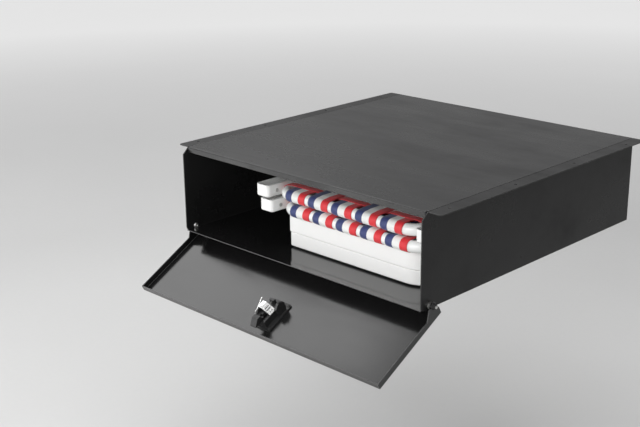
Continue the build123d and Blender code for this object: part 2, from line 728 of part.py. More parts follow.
with BuildPart() as table_feet:
    for x in (-40, 235):
        for y in (ty0 + 60, ty0 + TAB_L - 60):
            with BuildSketch(Plane.XY.offset(-BOX_H + SHEET + 0.05)):
                with Locations((x, y)):
                    Circle(11)
            extrude(amount=TAB_BOT - (-BOX_H + SHEET + 0.05) - 0.02)
    chamfer(table_feet.edges().group_by(Axis.Z)[0], 0.6)
save(table_feet, "table_feet")

with BuildPart() as table_carry_handle:
    with BuildLine(Plane.XY.offset(TAB_SEAM - 16)) as grip:
        FilletPolyline(
            (TAB_X1 + 0.1, tyc - 60), (TAB_X1 + 22, tyc - 54),
            (TAB_X1 + 22, tyc + 54), (TAB_X1 + 0.1, tyc + 60), radius=12,
        )
    with BuildSketch(Plane(origin=grip.line @ 0, x_dir=(0, 0, 1), z_dir=(1, 0, 0))):
        RectangleRounded(16, 7, 3.2)
    sweep(path=grip.wires()[0])
    split(bisect_by=Plane.YZ.offset(TAB_X1 + 0.1), keep=Keep.TOP)
save(table_carry_handle, "table_carry_handle")

with BuildPart() as table_catches:
    for y in (tyc - 150, tyc + 150):
        with BuildSketch(Plane.YZ.offset(TAB_X1 + 0.1)):
            with Locations((y, TAB_SEAM)):
                RectangleRounded(24, 26, 5)
        extrude(amount=5)
    fillet(table_catches.faces().filter_by(Axis.X).group_by(Axis.X)[-1].edges(), 1.6)
save(table_catches, "table_catches")


# ==================================================================== chairs
def bent_tube(label, points, corner, r, wall, z, rods):
    """Bent tube along a flat path, with round bars added or holes cut along X.

    Each rod is (x0, x1, y, z, radius, mode).
    """
    with BuildPart() as tube:
        with BuildLine(Plane.XY.offset(z)) as path:
            FilletPolyline(*points, radius=corner)
        with BuildSketch(Plane(origin=path.line @ 0, z_dir=path.line % 0)):
            Circle(r)
            Circle(r - wall, mode=Mode.SUBTRACT)
        sweep(path=path.wires()[0])
        for x0, x1, ry, rz, rr, mode in rods:
            with BuildSketch(Plane.YZ.offset(x0)):
                with Locations((ry, rz)):
                    Circle(rr)
            extrude(amount=x1 - x0, mode=mode)
    save(tube, label)


def rivet_set(label, rivets):
    """Round rivets along X; each is (x0, x1, y, z, shank, head, head height)."""
    with BuildPart() as group:
        for xa, xb, ry, rz, rr, hr, hh in rivets:
            lo, hi = min(xa, xb), max(xa, xb)
            for x0, x1, rad in ((lo, hi, rr), (lo, lo + hh, hr), (hi - hh, hi, hr)):
                with BuildSketch(Plane.YZ.offset(x0)):
                    with Locations((ry, rz)):
                        Circle(rad)
                extrude(amount=x1 - x0)
    save(group, label)


def wrap_profile(a0, a1, zc, r0, r1, side, lift, tail, ramp):
    """Closed outline of a strap that runs from a tube at a0 to one at a1.

    a is the distance along the strap; side is +1 when the strap lies on top of
    the tubes and -1 when it lies below; r0 and r1 are the tube radii.
    """
    def skin(off):
        pts = []
        rr = r0 + off
        pts.append((a0 + tail, zc - side * rr))
        for k in range(0, 13):
            ang = radians(270 - 15 * k)          # bottom, round the near side, top
            pts.append((a0 + rr * cos(ang), zc + side * rr * sin(ang)))
        flat = zc + side * (max(r0, r1) + off + lift)
        pts.append((a0 + ramp, flat))
        pts.append((a1 - ramp, flat))
        rr = r1 + off
        for k in range(0, 13):
            ang = radians(90 - 15 * k)           # top, round the far side, bottom
            pts.append((a1 + rr * cos(ang), zc + side * rr * sin(ang)))
        pts.append((a1 - tail, zc - side * rr))
        return pts

    return skin(0.15 + WEB_T) + skin(0.15)[::-1]


def chair(tag, xc, zc, arm_z, shift):
    bx = xc + shift          # the frames sit a little off the middle of the arms
    y0 = YF + CH_Y0
    y_end = y0 + CH_LEN
    y_bar = y_end - 8
    y_hinge = y0 + 500
    seat_y0, seat_y1 = y0 + 120, y0 + 528
    seat_bar = seat_y1 - 8
    leg_pin = YF + ARM_Y0 + 26

    bent_tube(
        f"{tag}_back_frame",
        [(bx - CH_HALF, y_end), (bx - CH_HALF, y0), (bx + CH_HALF, y0), (bx + CH_HALF, y_end)],
        CH_CORNER, CH_R, CH_WALL, zc,
        [(bx - CH_HALF, bx + CH_HALF, y_bar, zc, 9.5, Mode.ADD)]
        + [(bx + s * CH_HALF - 16, bx + s * CH_HALF + 16, y_hinge, zc, 3.06, Mode.SUBTRACT)
           for s in (-1, 1)],
    )
    bent_tube(
        f"{tag}_seat_frame",
        [(bx - SEAT_HALF, seat_y1), (bx - SEAT_HALF, seat_y0),
         (bx + SEAT_HALF, seat_y0), (bx + SEAT_HALF, seat_y1)],
        34, SEAT_R, CH_WALL, zc,
        [(bx - SEAT_HALF, bx + SEAT_HALF, seat_bar, zc, 8.5, Mode.ADD)]
        + [(bx + s * SEAT_HALF - 14, bx + s * SEAT_HALF + 12, y_hinge, zc, 3.06, Mode.SUBTRACT)
           for s in (-1, 1)],
    )
    bent_tube(
        f"{tag}_front_leg_frame",
        [(xc - LEG_X, YF + 66), (xc - LEG_X, YF + 700), (xc + LEG_X, YF + 700), (xc + LEG_X, YF + 66)],
        45, LEG_R, 1.2, arm_z,
        [(xc + s * LEG_X - 12, xc + s * LEG_X + 12, leg_pin, arm_z, 2.66, Mode.SUBTRACT)
         for s in (-1, 1)],
    )
    bent_tube(
        f"{tag}_rear_leg_frame",
        [(bx - RLEG_HALF, y0 + 180), (bx - RLEG_HALF, y0 + 488),
         (bx + RLEG_HALF, y0 + 488), (bx + RLEG_HALF, y0 + 180)],
        32, LEG_R, 1.2, zc,
        [(bx - RLEG_HALF, bx + RLEG_HALF, y0 + 250, zc, 6.0, Mode.ADD)],
    )
    rivet_set(
        f"{tag}_rivets",
        [(bx + s * (SEAT_HALF - SEAT_R - 1.8), bx + s * (CH_HALF + CH_R + 1.6),
          y_hinge, zc, 3.0, 4.6, 1.5) for s in (-1, 1)]
        + [(xc + s * (ARM_IN - 1.2), xc + s * (ARM_IN + ARM_W + 1.2),
            leg_pin, arm_z, 2.6, 4.4, 1.1) for s in (-1, 1)],
    )

    with BuildPart() as arms:
        ay = YF + ARM_Y0 + ARM_L / 2
        for s in (-1, 1):
            ax = xc + s * (ARM_IN + ARM_W / 2)
            with BuildSketch(Plane.XY.offset(arm_z - ARM_H / 2)):
                with Locations((ax, ay)):
                    RectangleRounded(ARM_W, ARM_L, 8)
            extrude(amount=ARM_H)
        fillet(arms.faces().filter_by(Axis.Z).group_by(Axis.Z)[0].edges(), 4.5)
        for s in (-1, 1):
            ax = xc + s * (ARM_IN + ARM_W / 2)
            with BuildSketch(Plane.XY.offset(arm_z - ARM_H / 2 + 3.2)):
                with Locations((ax, ay)):
                    RectangleRounded(ARM_W - 6.4, ARM_L - 6.4, 5)
            extrude(amount=ARM_H, mode=Mode.SUBTRACT)
            # way out at the back for the leg tube
            with BuildSketch(Plane.XZ.offset(-(YF + ARM_Y0 + ARM_L + 2))):
                with Locations((ax, arm_z)):
                    Circle(LEG_R + 0.5)
                with Locations((ax, arm_z + 8)):
                    Rectangle(2 * LEG_R + 1, 16)
            extrude(amount=10, mode=Mode.SUBTRACT)
            with BuildSketch(Plane.YZ.offset(ax - ARM_W / 2 - 2)):
                with Locations((leg_pin, arm_z)):
                    Circle(2.66)
            extrude(amount=ARM_W + 4, mode=Mode.SUBTRACT)
    save(arms, f"{tag}_armrests")

    # long straps, five on the back
    with BuildPart() as long_web:
        outline = wrap_profile(y0, y_bar, zc, CH_R, 9.5, +1, 1.45, 11, 18)
        for k in range(5):
            xl = bx + (k - 2) * WEB_PITCH - WEB_W / 2
            with BuildSketch(Plane.YZ.offset(xl)):
                Polygon(*outline, align=None)
            extrude(amount=WEB_W)
    save(long_web, f"{tag}_back_webbing_long")

    # cross straps, six on the back
    with BuildPart() as cross_web:
        outline = wrap_profile(-CH_HALF, CH_HALF, zc, CH_R, CH_R, +1, 0.0, 8, 24)
        outline = [(bx + a, z) for a, z in outline]
        for k in range(6):
            yc = y0 + 49 + k * 78
            with BuildSketch(Plane.XZ.offset(-(yc + WEB_W / 2))):
                Polygon(*outline, align=None)
            extrude(amount=WEB_W)
    save(cross_web, f"{tag}_back_webbing_cross")

    # seat straps below: four long, four across
    with BuildPart() as seat_web:
        outline = wrap_profile(seat_y0, seat_bar, zc, SEAT_R, 8.5, -1, 1.45, 14, 24)
        for k in range(4):
            xl = bx + (k - 1.5) * WEB_PITCH - WEB_W / 2
            with BuildSketch(Plane.YZ.offset(xl)):
                Polygon(*outline, align=None)
            extrude(amount=WEB_W)
        outline = wrap_profile(-SEAT_HALF, SEAT_HALF, zc, SEAT_R, SEAT_R, -1, 0.0, 8, 24)
        outline = [(bx + a, z) for a, z in outline]
        for k in range(4):
            yc = seat_y0 + 78 + k * 76
            with BuildSketch(Plane.XZ.offset(-(yc + WEB_W / 2))):
                Polygon(*outline, align=None)
            extrude(amount=WEB_W)
    save(seat_web, f"{tag}_seat_webbing")


for tag, place in CHAIRS.items():
    chair(tag, **place)
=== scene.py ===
import math
import bpy
from mathutils import Vector, Matrix


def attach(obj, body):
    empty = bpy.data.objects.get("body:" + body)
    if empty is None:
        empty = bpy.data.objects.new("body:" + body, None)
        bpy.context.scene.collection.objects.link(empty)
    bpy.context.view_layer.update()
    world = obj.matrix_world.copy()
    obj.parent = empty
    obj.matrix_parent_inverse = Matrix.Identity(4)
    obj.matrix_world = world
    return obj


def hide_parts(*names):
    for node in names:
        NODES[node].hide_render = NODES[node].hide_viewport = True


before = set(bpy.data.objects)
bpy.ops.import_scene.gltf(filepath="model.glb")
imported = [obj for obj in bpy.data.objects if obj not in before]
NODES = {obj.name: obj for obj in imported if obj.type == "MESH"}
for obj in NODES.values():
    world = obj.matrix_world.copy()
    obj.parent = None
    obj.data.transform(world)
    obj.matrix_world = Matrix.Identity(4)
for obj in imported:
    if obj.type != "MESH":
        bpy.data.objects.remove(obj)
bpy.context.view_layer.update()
COLL = bpy.context.scene.collection
MM = 0.001


# ------------------------------------------------------------------ node help
class Tree:
    """A short way to build a material's node tree."""

    def __init__(self, name):
        self.mat = bpy.data.materials.new(name)
        self.mat.use_nodes = True
        self.t = self.mat.node_tree
        self.t.nodes.clear()
        self.out = self.t.nodes.new("ShaderNodeOutputMaterial")
        self.bsdf = self.t.nodes.new("ShaderNodeBsdfPrincipled")
        self.t.links.new(self.bsdf.outputs[0], self.out.inputs[0])

    def node(self, kind, **props):
        n = self.t.nodes.new(kind)
        for k, v in props.items():
            setattr(n, k, v)
        return n

    def link(self, a, b):
        self.t.links.new(a, b)

    def put(self, socket, value):
        if isinstance(value, bpy.types.NodeSocket):
            self.link(value, socket)
        else:
            socket.default_value = value

    def coord(self, kind="Object"):
        return self.node("ShaderNodeTexCoord").outputs[kind]

    def mapping(self, vec, scale=(1, 1, 1), rot=(0, 0, 0)):
        n = self.node("ShaderNodeMapping")
        self.link(vec, n.inputs["Vector"])
        n.inputs["Scale"].default_value = scale
        n.inputs["Rotation"].default_value = rot
        return n.outputs[0]

    def noise(self, vec, scale, detail=3.0, rough=0.5, distort=0.0):
        n = self.node("ShaderNodeTexNoise")
        self.link(vec, n.inputs["Vector"])
        n.inputs["Scale"].default_value = scale
        n.inputs["Detail"].default_value = detail
        n.inputs["Roughness"].default_value = rough
        n.inputs["Distortion"].default_value = distort
        return n.outputs["Fac"]

    def voronoi(self, vec, scale, feature="F1"):
        n = self.node("ShaderNodeTexVoronoi", feature=feature)
        self.link(vec, n.inputs["Vector"])
        n.inputs["Scale"].default_value = scale
        return n.outputs["Distance"]

    def math(self, op, a, b=0.0, c=None, clamp=False):
        n = self.node("ShaderNodeMath", operation=op, use_clamp=clamp)
        self.put(n.inputs[0], a)
        self.put(n.inputs[1], b)
        if c is not None:
            self.put(n.inputs[2], c)
        return n.outputs[0]

    def ramp(self, fac, stops, interp="LINEAR"):
        n = self.node("ShaderNodeValToRGB")
        self.link(fac, n.inputs[0])
        cr = n.color_ramp
        cr.interpolation = interp
        while len(cr.elements) < len(stops):
            cr.elements.new(0.5)
        for e, (p, c) in zip(cr.elements, stops):
            e.position = p
            e.color = c if len(c) == 4 else (*c, 1)
        return n.outputs[0]

    def mix(self, fac, a, b, blend="MIX"):
        n = self.node("ShaderNodeMix", data_type="RGBA", blend_type=blend)
        self.put(n.inputs[0], fac)
        for s, v in ((n.inputs[6], a), (n.inputs[7], b)):
            if isinstance(v, bpy.types.NodeSocket):
                self.link(v, s)
            else:
                s.default_value = v if len(v) == 4 else (*v, 1)
        return n.outputs[2]

    def map_range(self, v, a, b, c, d, clamp=True):
        n = self.node("ShaderNodeMapRange", clamp=clamp)
        self.put(n.inputs[0], v)
        for i, x in enumerate((a, b, c, d)):
            n.inputs[i + 1].default_value = x
        return n.outputs[0]

    def bump(self, height, dist, strength=1.0, normal=None):
        n = self.node("ShaderNodeBump")
        self.link(height, n.inputs["Height"])
        n.inputs["Distance"].default_value = dist
        n.inputs["Strength"].default_value = strength
        if normal is not None:
            self.link(normal, n.inputs["Normal"])
        return n.outputs[0]

    def bevel(self, radius, samples=4):
        n = self.node("ShaderNodeBevel", samples=samples)
        n.inputs["Radius"].default_value = radius
        return n.outputs[0]

    def edge_highlight_mask(self, radius, lo=0.02, hi=0.35):
        """Mask for a painted highlight near sharp edges: how far a rounded normal leans from the true one."""
        bev = self.bevel(radius, 6)
        geo = self.node("ShaderNodeNewGeometry")
        dot = self.node("ShaderNodeVectorMath", operation="DOT_PRODUCT")
        self.link(bev, dot.inputs[0])
        self.link(geo.outputs["Normal"], dot.inputs[1])
        lean = self.math("SUBTRACT", 1.0, dot.outputs["Value"])
        return self.map_range(lean, lo, hi, 0.0, 1.0)

    def set(self, **kw):
        for k, v in kw.items():
            self.put(self.bsdf.inputs[k.replace("_", " ")], v)
        return self.mat


def c4(r, g, b):
    return (r, g, b, 1.0)


# ------------------------------------------------------------------ materials
def black_coat(name, rough=0.13, base=0.012, peel=1.0, ior=1.75, edge=0.0011):
    """Semi-gloss black powder coat: orange peel, dust and a painted highlight along sharp edges."""
    t = Tree(name)
    obj = t.coord()
    peel_n = t.noise(obj, 420.0, 2.0, 0.45)
    fine = t.noise(obj, 2600.0, 2.0, 0.5)
    broad = t.noise(obj, 5.0, 4.0, 0.55)
    dust = t.ramp(t.noise(obj, 900.0, 2.0, 0.6), [(0.0, (0, 0, 0)), (0.66, (0, 0, 0)), (0.78, (1, 1, 1)), (1.0, (1, 1, 1))])
    patch = t.map_range(t.noise(obj, 11.0, 3.0, 0.6), 0.45, 0.75, 0.0, 0.35)
    dusty = t.math("MULTIPLY", dust, patch)
    edge_m = t.edge_highlight_mask(edge)
    col = t.mix(broad, c4(base * 0.75, base * 0.75, base * 0.78), c4(base * 1.3, base * 1.3, base * 1.28))
    col = t.mix(dusty, col, c4(0.11, 0.11, 0.105))
    # painted highlight: the colour is lightened towards grey along sharp edges
    col = t.mix(t.math("MULTIPLY", edge_m, 0.75), col, c4(0.30, 0.30, 0.30))
    wipe = t.noise(t.mapping(obj, (2.2, 9.0, 9.0)), 1.0, 4.0, 0.6)
    r = t.map_range(broad, 0.3, 0.7, rough * 0.85, rough * 1.25)
    r = t.math("MULTIPLY", r, t.map_range(wipe, 0.3, 0.7, 0.75, 1.45))
    r = t.math("ADD", r, t.math("MULTIPLY", dusty, 0.25))
    r = t.math("ADD", r, t.math("MULTIPLY", edge_m, 0.12), clamp=True)
    h = t.math("ADD", peel_n, t.math("MULTIPLY", fine, 0.18))
    nrm = t.bump(h, 0.00006 * peel, 0.55, t.bevel(0.0009))
    return t.set(Base_Color=col, Roughness=r, IOR=ior, Normal=nrm)


def metal(name, base, rough, streak=0.0, edge=0.0004):
    """Plated or cast metal with a soft mottle, fine scratches and a painted highlight along sharp edges."""
    t = Tree(name)
    obj = t.coord()
    mott = t.noise(obj, 260.0, 4.0, 0.6)
    scr = t.noise(t.mapping(obj, (60, 1800, 900)), 1.0, 3.0, 0.6)
    col = t.mix(mott, c4(*[b * 0.72 for b in base]), c4(*base))
    # painted highlight: the colour is lightened towards white along sharp edges
    col = t.mix(t.math("MULTIPLY", t.edge_highlight_mask(edge), 0.5), col, c4(0.95, 0.95, 0.94))
    r = t.map_range(mott, 0.3, 0.7, rough * 0.7, rough * 1.4)
    r = t.math("ADD", r, t.math("MULTIPLY", scr, streak))
    nrm = t.bump(t.math("ADD", mott, t.math("MULTIPLY", scr, 0.5)), 0.00004, 0.5, t.bevel(edge))
    return t.set(Base_Color=col, Metallic=1.0, Roughness=r, Normal=nrm)


def black_moulding(name, base=0.014, rough=0.38):
    t = Tree(name)
    obj = t.coord()
    grain = t.voronoi(obj, 2200.0)
    broad = t.noise(obj, 60.0, 3.0, 0.5)
    edge_m = t.edge_highlight_mask(0.0006)
    col = t.mix(broad, c4(base * 0.7, base * 0.7, base * 0.7), c4(base * 1.5, base * 1.5, base * 1.55))
    # painted highlight: the colour is lightened towards grey along sharp edges
    col = t.mix(t.math("MULTIPLY", edge_m, 0.5), col, c4(0.09, 0.09, 0.09))
    r = t.map_range(broad, 0.3, 0.7, rough * 0.8, rough * 1.2)
    nrm = t.bump(grain, 0.00005, 0.5, t.bevel(0.0005))
    return t.set(Base_Color=col, Roughness=r, Normal=nrm)


def white_moulding(name, base=(0.86, 0.86, 0.85), rough=0.42, grain=1500.0, sss=0.06):
    """White moulded plastic: pebbled skin and faint scuffs."""
    t = Tree(name)
    obj = t.coord()
    peb = t.voronoi(obj, grain)
    broad = t.noise(obj, 14.0, 4.0, 0.6)
    scuff = t.ramp(t.noise(t.mapping(obj, (30, 30, 260)), 1.0, 4.0, 0.65), [(0.0, (0, 0, 0)), (0.62, (0, 0, 0)), (0.72, (1, 1, 1)), (1, (1, 1, 1))])
    col = t.mix(broad, c4(*base), c4(base[0] * 0.955, base[1] * 0.96, base[2] * 0.955))
    col = t.mix(t.math("MULTIPLY", scuff, 0.05), col, c4(0.45, 0.44, 0.42))
    r = t.map_range(broad, 0.3, 0.7, rough * 0.9, rough * 1.15)
    nrm = t.bump(t.math("ADD", peb, t.math("MULTIPLY", broad, 0.6)), 0.00007, 0.45, t.bevel(0.0008))
    return t.set(Base_Color=col, Roughness=r, Normal=nrm, Subsurface_Weight=sss,
                 Subsurface_Radius=(0.004, 0.004, 0.004), Subsurface_Scale=0.5)


def enamel(name, base, rough=0.22):
    """Enamelled tube: glossy skin with a fine bump and small chips."""
    t = Tree(name)
    obj = t.coord()
    broad = t.noise(obj, 35.0, 3.0, 0.55)
    chips = t.ramp(t.noise(obj, 240.0, 3.0, 0.7), [(0.0, (0, 0, 0)), (0.72, (0, 0, 0)), (0.76, (1, 1, 1)), (1, (1, 1, 1))])
    col = t.mix(broad, c4(*base), c4(*[b * 0.93 for b in base]))
    col = t.mix(t.math("MULTIPLY", chips, 0.25), col, c4(0.5, 0.5, 0.49))
    r = t.map_range(broad, 0.3, 0.7, rough * 0.8, rough * 1.3)
    nrm = t.bump(t.noise(obj, 520.0, 2.0, 0.5), 0.00003, 0.5, t.bevel(0.0005))
    return t.set(Base_Color=col, Roughness=r, Normal=nrm, Coat_Weight=0.35, Coat_Roughness=0.08)


def rubber(name, base=0.02):
    t = Tree(name)
    obj = t.coord()
    n1 = t.noise(obj, 900.0, 3.0, 0.6)
    col = t.mix(n1, c4(base * 0.6, base * 0.6, base * 0.6), c4(base * 1.6, base * 1.6, base * 1.6))
    return t.set(Base_Color=col, Roughness=t.map_range(n1, 0.3, 0.7, 0.7, 0.9), Normal=t.bump(n1, 0.0001, 0.6))


def webbing(name):
    """Tri-colour strap: blue, white and red bands with a plain basket weave."""
    t = Tree(name)
    uv = t.coord("UV")
    sep = t.node("ShaderNodeSeparateXYZ")
    t.link(uv, sep.inputs[0])
    u, v = sep.outputs[0], sep.outputs[1]          # u across 0..1, v along in metres
    obj = t.coord()
    wob = t.math("MULTIPLY", t.math("SUBTRACT", t.noise(obj, 900.0, 2.0, 0.5), 0.5), 0.012)
    uu = t.math("ADD", u, wob)
    navy = t.mix(t.noise(obj, 700.0, 3.0, 0.6), c4(0.022, 0.034, 0.135), c4(0.045, 0.065, 0.215))
    white = t.mix(t.noise(obj, 700.0, 3.0, 0.6), c4(0.80, 0.80, 0.775), c4(0.90, 0.90, 0.885))
    red = t.mix(t.noise(obj, 700.0, 3.0, 0.6), c4(0.62, 0.018, 0.028), c4(0.82, 0.035, 0.045))
    a = t.map_range(uu, 0.325, 0.337, 0.0, 1.0)
    b = t.map_range(uu, 0.658, 0.670, 0.0, 1.0)
    col = t.mix(a, navy, white)
    col = t.mix(b, col, red)
    # ribs: weft every 1.5 mm along the strap, warp ends every 1.3 mm across it
    ph_v = t.math("MULTIPLY", v, 2 * math.pi / 0.0015)
    ph_u = t.math("MULTIPLY", u, 2 * math.pi * 0.061 / 0.0019)
    sv = t.math("SINE", ph_v)
    su = t.math("SINE", ph_u)
    prod = t.math("MULTIPLY", sv, su)
    weave = t.map_range(prod, -1, 1, 0, 1)
    rib = t.map_range(sv, -1, 1, 0, 1)
    h = t.math("ADD", t.math("MULTIPLY", weave, 0.75), t.math("MULTIPLY", rib, 0.35))
    # painted shade and highlight: the colour is darkened in the weave's low points and lifted slightly on its
    # crowns
    shade = t.map_range(h, 0.0, 1.1, 0.80, 1.06)
    dark = t.node("ShaderNodeMix", data_type="RGBA", blend_type="MULTIPLY")
    dark.inputs[0].default_value = 1.0
    t.link(col, dark.inputs[6])
    comb = t.node("ShaderNodeCombineColor")
    for i in range(3):
        t.link(shade, comb.inputs[i])
    t.link(comb.outputs[0], dark.inputs[7])
    col = dark.outputs[2]
    # darker along the selvages
    e = t.math("ABSOLUTE", t.math("SUBTRACT", u, 0.5))
    sel = t.map_range(e, 0.47, 0.5, 0.0, 0.28)
    col = t.mix(sel, col, c4(0.20, 0.19, 0.2))
    r = t.map_range(h, 0, 1.1, 0.62, 0.42)
    nrm = t.bump(h, 0.00022, 0.6)
    return t.set(Base_Color=col, Roughness=r, Normal=nrm, Sheen_Weight=0.15, Sheen_Roughness=0.5)


M = {
    "body": black_coat("black_powder_coat", 0.30, 0.009, 1.0, 1.36),
    "inside": black_coat("black_gloss_coat", 0.085, 0.008, 0.5, 1.80),
    "top": black_coat("black_top_coat", 0.27, 0.009, 1.0, 1.50),
    "door": black_coat("black_door_coat", 0.15, 0.007, 0.8, 1.62),
    "zinc": metal("bright_zinc", (0.72, 0.72, 0.70), 0.28, 0.12),
    "cast": metal("zinc_casting", (0.88, 0.88, 0.87), 0.20, 0.10),
    "chrome": metal("chrome_lock", (0.86, 0.87, 0.88), 0.10, 0.05),
    "nylon": black_moulding("black_nylon"),
    "rubber": rubber("black_rubber"),
    "table": white_moulding("white_polyethylene"),
    "arms": white_moulding("white_armrest_plastic", (0.88, 0.88, 0.87), 0.30, 2400.0),
    "grey": white_moulding("grey_moulding", (0.26, 0.26, 0.27), 0.5),
    "tube": enamel("white_enamel_tube", (0.86, 0.87, 0.86)),
    "legtube": enamel("grey_coated_tube", (0.36, 0.36, 0.37), 0.35),
    "web": webbing("tricolour_webbing"),
}


def dress(node, key):
    o = NODES[node]
    if len(o.material_slots) == 0:
        o.data.materials.append(M[key])
    for s in o.material_slots:
        s.material = M[key]


for n in NODES:
    if n in ("left_side_panel", "right_side_panel"):
        dress(n, "body")
    elif n == "top_panel":
        dress(n, "top")
    elif n in ("floor_panel", "rear_panel"):
        dress(n, "inside")
    elif n == "door_pan":
        dress(n, "door")
    elif n in ("pivot_bolts", "pivot_spacer_washers", "latch_spring", "paddle_pin", "table_hinge_rod"):
        dress(n, "zinc")
    elif n == "pivot_lock_nuts":
        dress(n, "nylon")
    elif n in ("latch_cover", "latch_rod"):
        dress(n, "cast")
    elif n in ("lock_cylinder", "lock_key_plug"):
        dress(n, "chrome")
    elif n in ("handle_gasket", "table_feet"):
        dress(n, "rubber")
    elif n in ("handle_housing", "paddle_handle", "latch_housing", "latch_bolt", "latch_screws"):
        dress(n, "nylon")
    elif n in ("table_top_half", "table_bottom_half", "table_carry_handle", "table_catches"):
        dress(n, "table")
    elif n.startswith("table_leg_upper") or n.startswith("table_leg_lower"):
        dress(n, "legtube")
    elif n == "table_leg_brackets":
        dress(n, "grey")
    elif "armrests" in n:
        dress(n, "arms")
    elif n.endswith("_frame"):
        dress(n, "tube")
    elif n.endswith("_rivets"):
        dress(n, "zinc")


# --------------------------------------------------------------- woven straps
WEB_W, WEB_T = 58.5 * MM, 1.15 * MM
PITCH = 68.8 * MM


def smooth(x):
    x = min(1.0, max(0.0, x))
    return x * x * (3 - 2 * x)


def strap_mesh(name, path, width_dir, centre, width, flip_u, body, replaced):
    """A closed ribbon swept along path, a list of (a, z) in the plane across width_dir.

    centre is the strap's middle along width_dir; width_dir is "x" or "y".
    """
    nw = 14
    verts, faces, uvs = [], [], []
    n = len(path)
    dist = [0.0]
    for i in range(1, n):
        dist.append(dist[-1] + math.dist(path[i], path[i - 1]))
    ring = 2 * (nw + 1)
    for i, (a, z) in enumerate(path):
        j0, j1 = max(0, i - 1), min(n - 1, i + 1)
        ta, tz = path[j1][0] - path[j0][0], path[j1][1] - path[j0][1]
        ln = math.hypot(ta, tz) or 1.0
        na, nz = -tz / ln, ta / ln
        for side in (1, -1):
            js = range(nw + 1) if side == 1 else range(nw, -1, -1)
            for j in js:
                f = j / nw
                w = (f - 0.5) * width
                edge = abs(2 * f - 1)
                th = WEB_T / 2 * (1 - 0.62 * edge ** 10)
                # slight roll of the selvages and a shallow ripple along the strap
                sag = -0.00022 * edge ** 4 + 0.00008 * math.sin(dist[i] * 210 + centre * 900) * (1 - edge)
                p_a, p_z = a + na * (side * th + sag), z + nz * (side * th + sag)
                if width_dir == "x":
                    verts.append((centre + w, p_a, p_z))
                else:
                    verts.append((p_a, centre + w, p_z))
                uvs.append((1 - f if flip_u else f, dist[i]))
    for i in range(n - 1):
        for k in range(ring):
            k2 = (k + 1) % ring
            faces.append((i * ring + k, i * ring + k2, (i + 1) * ring + k2, (i + 1) * ring + k))
    faces.append(tuple(range(ring))[::-1])
    faces.append(tuple((n - 1) * ring + k for k in range(ring)))
    return verts, faces, uvs


def build_straps(name, parts, body, node):
    """Joins several ribbons into one object with UVs, shaded smooth."""
    verts, faces, uvs = [], [], []
    for v, f, u in parts:
        base = len(verts)
        verts += v
        faces += [tuple(base + i for i in q) for q in f]
        uvs += u
    me = bpy.data.meshes.new(name)
    me.from_pydata(verts, [], faces)
    me.update()
    lay = me.uv_layers.new(name="UVMap")
    for loop in me.loops:
        lay.data[loop.index].uv = uvs[loop.vertex_index]
    import bmesh
    bm = bmesh.new()
    bm.from_mesh(me)
    bmesh.ops.recalc_face_normals(bm, faces=bm.faces)
    bm.to_mesh(me)
    bm.free()
    for p in me.polygons:
        p.use_smooth = True
    me.materials.append(M["web"])
    o = bpy.data.objects.new(name, me)
    COLL.objects.link(o)
    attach(o, body)
    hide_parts(node)
    return o


def wrap_path(a0, a1, zc, r0, r1, side, tail, level, stops):
    """Centre line of a strap wrapped round a tube at a0 and a tube at a1.

    level(a) gives the height of the flat run above the axis, on side (+1 or -1).
    """
    t = WEB_T / 2 + 0.15 * MM
    pts = []
    for i in range(4):
        pts.append((a0 + tail * (1 - i / 4), zc - side * (r0 + t)))
    for k in range(0, 21):
        ang = math.radians(270 - 9 * k)
        pts.append((a0 + (r0 + t) * math.cos(ang), zc + side * (r0 + t) * math.sin(ang)))
    n = stops
    for i in range(1, n):
        a = a0 + (a1 - a0) * i / n
        w0 = smooth((a - a0) / (16 * MM))
        w1 = smooth((a1 - a) / (16 * MM))
        h = (r0 + t) * (1 - w0) + level(a) * min(w0, w1) + (r1 + t) * (1 - w1)
        pts.append((a, zc + side * h))
    for k in range(0, 21):
        ang = math.radians(90 - 9 * k)
        pts.append((a1 + (r1 + t) * math.cos(ang), zc + side * (r1 + t) * math.sin(ang)))
    for i in range(1, 5):
        pts.append((a1 - tail * i / 4, zc - side * (r1 + t)))
    return pts


def weave_level(base, amp, centres, sign):
    """Height of a strap that goes over (+) or under (-) the straps at centres."""
    half = WEB_W / 2 + 0.3 * MM
    signs = [sign(i) for i in range(len(centres))]

    def level(a):
        if a <= centres[0] + half:
            return base + amp * signs[0]
        if a >= centres[-1] - half:
            return base + amp * signs[-1]
        for i in range(len(centres) - 1):
            if a <= centres[i] + half:
                return base + amp * signs[i]
            if a < centres[i + 1] - half:
                f = (a - centres[i] - half) / (centres[i + 1] - centres[i] - 2 * half)
                return base + amp * (signs[i] + (signs[i + 1] - signs[i]) * smooth(f))
        return base + amp * signs[-1]
    return level


